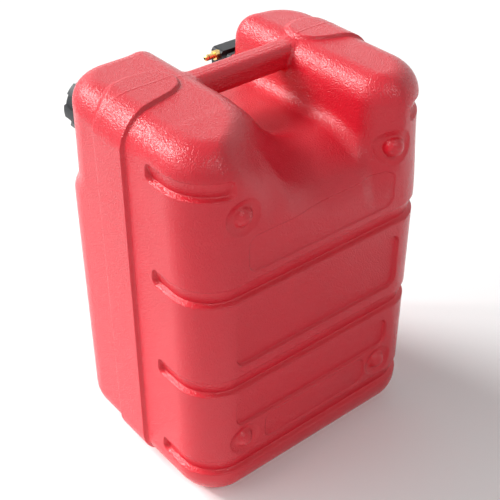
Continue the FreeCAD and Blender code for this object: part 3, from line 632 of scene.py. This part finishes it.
# ---- materials ----------------------------------------------------------------------------------
class Nodes:
    """A material's shader nodes, and how they are added and linked."""

    def __init__(self, name):
        self.material = bpy.data.materials.new(name)
        self.material.use_nodes = True
        self.tree = self.material.node_tree
        self.shader = self.tree.nodes["Principled BSDF"]

    def add(self, kind, **values):
        node = self.tree.nodes.new(kind)
        for key, value in values.items():
            node.inputs[key].default_value = value
        return node

    def link(self, start, end):
        self.tree.links.new(start, end)

    def noise(self, scale, detail):
        """Noise in the object's own coordinates."""
        place = self.add("ShaderNodeTexCoord")
        node = self.add("ShaderNodeTexNoise", Scale=scale, Detail=detail, Roughness=0.5)
        self.link(place.outputs["Object"], node.inputs["Vector"])
        return node.outputs["Fac"]

    def tint(self, source, places, colours):
        """Base colour from the noise, with two colours and their places."""
        node = self.add("ShaderNodeValToRGB")
        for element, place, colour in zip(node.color_ramp.elements, places, colours):
            element.position = place
            element.color = (*colour, 1.0)
        self.link(source, node.inputs["Fac"])
        self.link(node.outputs["Color"], self.shader.inputs["Base Color"])

    def gloss(self, source, least, most):
        """Roughness from the noise."""
        node = self.add("ShaderNodeMapRange")
        node.inputs["To Min"].default_value = least
        node.inputs["To Max"].default_value = most
        self.link(source, node.inputs["Value"])
        self.link(node.outputs["Result"], self.shader.inputs["Roughness"])

    def relief(self, source, strength, depth):
        """Bump from the noise, its depth in metres."""
        node = self.add("ShaderNodeBump", Strength=strength, Distance=depth)
        self.link(source, node.inputs["Height"])
        self.link(node.outputs["Normal"], self.shader.inputs["Normal"])


def plastic(name, colour, darker, roughness, grain, bump, specular=0.5, depth=pebble_depth):
    """Moulded plastic: cloudy colour, a pebble grain and slightly uneven gloss."""
    n = Nodes(name)
    n.tint(n.noise(cloud_scale, cloud_detail), tint_stops, (darker, colour))
    n.shader.inputs["Specular IOR Level"].default_value = specular
    pebble = n.noise(grain, pebble_detail)
    n.gloss(pebble, roughness - gloss_spread, roughness + gloss_spread)
    n.relief(pebble, bump, depth)
    return n.material


def metal(name, colour, roughness, scratch):
    """Turned or drawn metal with fine uneven brushing."""
    n = Nodes(name)
    n.shader.inputs["Metallic"].default_value = 1.0
    brush = n.noise(scratch, brush_detail)
    n.tint(brush, brush_stops, (tuple(c * brush_dark for c in colour), colour))
    n.gloss(brush, *(roughness + change for change in brush_gloss))
    n.relief(brush, brush_relief, brush_depth)
    return n.material


def clear_window():
    """Clear plastic with faint smears."""
    n = Nodes("clear_window")
    n.shader.inputs["Transmission Weight"].default_value = 1.0
    n.shader.inputs["IOR"].default_value = window_index
    smear = n.noise(smear_scale, smear_detail)
    n.gloss(smear, *window_gloss)
    n.tint(smear, tint_stops, window_tints)
    return n.material


red = plastic("red_polyethylene", (0.71, 0.0145, 0.032), (0.68, 0.013, 0.029),
              roughness=0.24, grain=800.0, bump=1.0, specular=0.44, depth=0.0006)
grey = plastic("grey_nylon", (0.024, 0.028, 0.031), (0.018, 0.021, 0.023),
               roughness=0.44, grain=900.0, bump=0.35, specular=0.26)
black = plastic("black_acetal", (0.022, 0.022, 0.023), (0.016, 0.016, 0.017),
                roughness=0.36, grain=1400.0, bump=0.12)
natural = plastic("natural_acetal", (0.72, 0.70, 0.62), (0.66, 0.64, 0.55),
                  roughness=0.38, grain=900.0, bump=0.10)
foam = plastic("float_foam", (0.040, 0.040, 0.045), (0.025, 0.025, 0.03),
               roughness=0.8, grain=1600.0, bump=0.6)
rubber = plastic("nitrile_rubber", (0.018, 0.018, 0.018), (0.012, 0.012, 0.012),
                 roughness=0.6, grain=1100.0, bump=0.25)
pointer = plastic("orange_pointer", (0.85, 0.16, 0.02), (0.78, 0.13, 0.02),
                  roughness=0.3, grain=1500.0, bump=0.08)
dial = plastic("dial_white", (0.82, 0.82, 0.79), (0.78, 0.78, 0.75),
               roughness=0.5, grain=1500.0, bump=0.05)
brass = metal("turned_brass", (0.86, 0.60, 0.24), roughness=0.26, scratch=900.0)
steel = metal("stainless_steel", (0.62, 0.62, 0.61), roughness=0.28, scratch=1100.0)
window = clear_window()

node_materials = {
    "filler_cap": grey, "cap_gasket": rubber, "vent_screw": grey, "vent_clip": steel,
    "vent_seal": rubber, "head_gasket": rubber, "gauge_head": grey, "head_screws": steel,
    "screw_inserts": brass, "gauge_dial": dial, "gauge_lens": window, "gauge_bezel": black,
    "gauge_needle": pointer, "twisted_strip": steel, "guide_rods": steel, "guide_foot": black,
    "float_body": foam, "float_driver": black, "pickup_tube": natural,
    "pickup_strainer": natural, "fuel_outlet": brass, "outlet_ring": rubber,
    "guide_pin": steel, "tank_shell": red,
}
for name, material in node_materials.items():
    nodes[name].data.materials.clear()
    nodes[name].data.materials.append(material)


# ---- pieces -------------------------------------------------------------------------------------
def add_piece(obj, material, replaced=None):
    """Hangs a piece on the tank, with its material."""
    obj.data.materials.append(material)
    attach(obj, "tank")
    if replaced:
        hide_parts(replaced)


def make_body():
    """The moulded body's whole skin, with smooth normals from the field."""
    step = mesh_step
    low = [a - b for a, b in zip((-half_width, -half_depth, 0.0), mesh_margin_low)]
    high = [a + b for a, b in zip((half_width, half_depth, height), mesh_margin_high)]
    points, quads = field_mesh(body_field, low, high, step)
    points = settle(body_field, points, coarse_rounds, step)
    points, quads = subdivide(points, quads)
    points = settle(body_field, points, fine_rounds, step / 2.0)
    points[:, 2] = np.maximum(points[:, 2], 0.0)
    return mesh_object("moulded_body", points, quads, field_normals(body_field, points))


def smooth_by_angle(obj):
    """Turns the faces outwards and smooths all but the sharp edges."""
    shape = bmesh.new()
    shape.from_mesh(obj.data)
    bmesh.ops.recalc_face_normals(shape, faces=shape.faces)
    for edge in shape.edges:
        edge.smooth = len(edge.link_faces) != 2 or edge.calc_face_angle(0.0) < sharp_angle
    shape.to_mesh(obj.data)
    shape.free()
    return obj


def bridge(rings, closed=True):
    """Quads between the rings of a grid of points, each ring closed on itself."""
    count, wide = len(rings), len(rings[0])
    faces = []
    for i in range(count if closed else count - 1):
        j = (i + 1) % count
        for a in range(wide):
            b = (a + 1) % wide
            faces.append((i * wide + a, j * wide + a, j * wide + b, i * wide + b))
    return faces


def flattened(rings):
    """One list of all the rings' points."""
    return [p for ring in rings for p in ring]


def on_front(u, w, angle):
    """Point at radius u and height w over the front, turned about the filler's axis."""
    return (filler_x + u * math.cos(angle), -w, filler_z + u * math.sin(angle))


def lathe(profile, steps):
    """Closed profile of (radius, height) turned about the filler's axis."""
    return [[on_front(u, w, 2.0 * math.pi * i / steps) for u, w in profile]
            for i in range(steps)]


def thread_rings():
    """Cross-sections of the neck's thread, which fades out at both ends."""
    steps = int(thread_turns * thread_steps)
    rings = []
    for i in range(steps + 1):
        angle = 2.0 * math.pi * thread_turns * i / steps
        middle = thread_start + thread_pitch * angle / (2.0 * math.pi)
        grown = float(ramp(min(i, steps - i) / thread_fade))
        tall = thread_tall * grown
        crest = thread_crest * (thread_tip + thread_tip_rest * grown)
        root = thread_root * (thread_tip + thread_tip_rest * grown)
        section = ((thread_sunk, -root), (tall, -crest), (tall, crest), (thread_sunk, root))
        rings.append([on_front(neck_outer + u, middle + w, angle) for u, w in section])
    return rings


def make_neck():
    """The filler's neck, with a rounded rim, a foot on the front and its thread."""
    rim = [(neck_bore + u, neck_rim + w) for u, w in neck_round]
    rim += [(neck_outer - u, neck_rim + w) for u, w in reversed(neck_round)]
    foot = [(neck_outer + u, w) for u, w in neck_foot]
    rings = lathe(rim + foot + [(neck_bore, neck_end)], neck_steps)
    points, faces = flattened(rings), bridge(rings)
    thread, start = thread_rings(), len(points)
    points += flattened(thread)
    faces += [tuple(start + n for n in face) for face in bridge(thread, closed=False)]
    last = len(points) - 4
    faces += [tuple(start + n for n in (0, 1, 2, 3)), tuple(last + n for n in (3, 2, 1, 0))]
    return smooth_by_angle(mesh_object("filler_neck", points, faces))


def rounded_outline(half_u, half_v, radius, count):
    """Points round a rectangle with rounded corners."""
    out = []
    for corner, (su, sv) in enumerate(((1, 1), (-1, 1), (-1, -1), (1, -1))):
        for i in range(count + 1):
            angle = math.pi / 2.0 * (corner + i / count)
            out.append((su * (half_u - radius) + radius * math.cos(angle),
                        sv * (half_v - radius) + radius * math.sin(angle)))
    return out


def make_pad():
    """The flat seat under the head's gasket, with the port through it."""
    half_u, half_v = pad_half
    outline = rounded_outline(half_u, half_v, pad_corner, pad_corner_steps)
    layers = []
    for grow, w in pad_layers:
        layers.append([(gauge_x + u * (1.0 + grow / half_u), -w,
                        gauge_z + v * (1.0 + grow / half_v)) for u, v in outline])
    for w in (pad_face, pad_root):
        layers.append([(gauge_x + port_radius * u / math.hypot(u, v), -w,
                        gauge_z + port_radius * v / math.hypot(u, v)) for u, v in outline])
    return smooth_by_angle(mesh_object("gauge_pad", flattened(layers), bridge(layers)))


def dial_angle(step, steps):
    """Angle of a step of the dial's sweep, clockwise from the top."""
    return math.radians(dial_start + dial_sweep * step / steps)


def dial_plate(shape, corners):
    """Thin plate of ink between the corners, given as (x, z)."""
    low, high = [[shape.verts.new((x, y, z)) for x, z in corners] for y in (ink_low, ink_high)]
    shape.faces.new(high)
    shape.faces.new(low[::-1])
    for i in range(len(corners)):
        j = (i + 1) % len(corners)
        shape.faces.new((low[i], low[j], high[j], high[i]))


def dial_number(shape, number):
    """One plain number of the built-in font, set upright on the dial."""
    name = "number_%d" % number
    curve = bpy.data.curves.new(name, "FONT")
    curve.body = str(number)
    curve.size = number_size
    curve.align_x = "CENTER"
    curve.align_y = "CENTER"
    curve.extrude = number_half
    curve.resolution_u = number_curves
    word = bpy.data.objects.new(name, curve)
    flat = bpy.data.meshes.new_from_object(word)
    angle = dial_angle(number, last_number)
    cx, cz = dial_place
    at = Vector((cx + number_radius * math.sin(angle), ink_low - number_half,
                 cz + number_radius * math.cos(angle)))
    flat.transform(Matrix.Translation(at) @ Matrix.Rotation(math.pi / 2.0, 4, "X"))
    shape.from_mesh(flat)
    bpy.data.objects.remove(word)
    bpy.data.meshes.remove(flat)
    bpy.data.curves.remove(curve)


def make_print():
    """Ticks, an arc and plain numbers on the gauge's dial, as thin raised ink."""
    cx, cz = dial_place
    shape = bmesh.new()
    for step in range(ticks + 1):
        angle = dial_angle(step, ticks)
        inner, half = tick_long if step % 2 == 0 else tick_short
        out = (math.sin(angle), math.cos(angle))
        side = (out[1], -out[0])
        dial_plate(shape, [(cx + r * out[0] + s * side[0], cz + r * out[1] + s * side[1])
                           for r, s in ((inner, -half), (tick_outer, -half),
                                        (tick_outer, half), (inner, half))])
    arc = [dial_angle(i, arc_steps) for i in range(arc_steps + 1)]
    for a, b in zip(arc, arc[1:]):
        dial_plate(shape, [(cx + r * math.sin(t), cz + r * math.cos(t))
                           for r, t in ((arc_inner, a), (arc_outer, a),
                                        (arc_outer, b), (arc_inner, b))])
    for number in range(last_number + 1):
        dial_number(shape, number)
    mesh = bpy.data.meshes.new("dial_print")
    shape.to_mesh(mesh)
    shape.free()
    return linked("dial_print", mesh)


add_piece(make_body(), red, "tank_shell")
add_piece(make_neck(), red, "tank_shell")
add_piece(make_pad(), red, "tank_shell")
add_piece(make_print(), black)


# ---- stage, lights and camera -------------------------------------------------------------------
def seen_directly(tree):
    """1 for camera, mirror and glass rays, and 0 for the rays that carry soft light."""
    path = tree.nodes.new("ShaderNodeLightPath")
    either = path.outputs["Is Camera Ray"]
    for name in ("Is Glossy Ray", "Is Transmission Ray"):
        most = tree.nodes.new("ShaderNodeMath")
        most.operation = "MAXIMUM"
        tree.links.new(either, most.inputs[0])
        tree.links.new(path.outputs[name], most.inputs[1])
        either = most.outputs["Value"]
    return either


def mixed(tree, soft, direct, output):
    """Gives the output the soft shader, but the direct one where it is seen directly."""
    mix = tree.nodes.new("ShaderNodeMixShader")
    tree.links.new(seen_directly(tree), mix.inputs["Fac"])
    tree.links.new(soft, mix.inputs[1])
    tree.links.new(direct, mix.inputs[2])
    tree.links.new(mix.outputs["Shader"], tree.nodes[output].inputs["Surface"])


def make_floor():
    """Pale floor that looks a little brighter than it lights the object."""
    s = floor_half
    mesh = bpy.data.meshes.new("floor")
    mesh.from_pydata([(-s, -s, 0), (s, -s, 0), (s, s, 0), (-s, s, 0)], [], [(0, 1, 2, 3)])
    floor = linked("floor", mesh)
    n = Nodes("pale_floor")
    n.shader.inputs["Base Color"].default_value = (floor_white, floor_white, floor_white, 1.0)
    n.shader.inputs["Roughness"].default_value = 1.0
    n.shader.inputs["Specular IOR Level"].default_value = 0.0
    plain = n.shader.outputs["BSDF"]
    glow = n.add("ShaderNodeEmission", Strength=floor_glow)
    both = n.add("ShaderNodeAddShader")
    n.link(plain, both.inputs[0])
    n.link(glow.outputs["Emission"], both.inputs[1])
    mixed(n.tree, plain, both.outputs["Shader"], "Material Output")
    floor.data.materials.append(n.material)


def make_world():
    """Soft sky for the light, and white where the world is seen directly."""
    world = bpy.data.worlds.new("studio")
    bpy.context.scene.world = world
    world.use_nodes = True
    tree = world.node_tree
    soft, white = tree.nodes["Background"], tree.nodes.new("ShaderNodeBackground")
    for node, level in ((soft, sky_level), (white, 1.0)):
        node.inputs["Color"].default_value = (1.0, 1.0, 1.0, 1.0)
        node.inputs["Strength"].default_value = level
    mixed(tree, soft.outputs["Background"], white.outputs["Background"], "World Output")


def aim(obj, place, target):
    """Puts a lamp or the camera in its place and turns it to its target."""
    obj.location = place
    look = Vector(target) - Vector(place)
    obj.rotation_euler = look.to_track_quat("-Z", "Y").to_euler()


def add_lamp(name, kind, place, target):
    """New lamp, aimed; returns its data."""
    data = bpy.data.lights.new(name, kind)
    aim(linked(name, data), place, target)
    return data


def sun_light(name, direction, strength, angle):
    """Sun of the given width in degrees, which shines from the direction."""
    data = add_lamp(name, "SUN", direction, (0.0, 0.0, 0.0))
    data.energy = strength
    data.angle = math.radians(angle)


def soft_box(name, place, target, size, level):
    """Soft box of the given radiance."""
    data = add_lamp(name, "AREA", place, target)
    data.shape = "RECTANGLE"
    data.size, data.size_y = size
    data.energy = level * math.pi * size[0] * size[1]


def floor_lamp(name, place, target, power, cone):
    """Spot aimed at the floor behind the object."""
    data = add_lamp(name, "SPOT", place, target)
    data.energy = power
    data.spot_size = math.radians(cone)
    data.spot_blend = 1.0
    data.shadow_soft_size = floor_lamp_radius


def make_camera():
    """The reference view."""
    data = bpy.data.cameras.new("camera")
    data.sensor_width = camera_sensor
    data.lens = camera_lens
    camera = linked("camera", data)
    aim(camera, camera_place, camera_target)
    bpy.context.scene.camera = camera


make_floor()
make_world()
sun_light("key", key_from, key_level, key_angle)
sun_light("wide", wide_from, wide_level, wide_angle)
soft_box("box", box_from, box_at, box_size, box_level)
floor_lamp("background", floor_lamp_from, floor_lamp_at, floor_lamp_power, floor_lamp_cone)
sun_light("second", second_from, second_level, second_angle)
make_camera()
bpy.context.scene.view_settings.view_transform = "Standard"
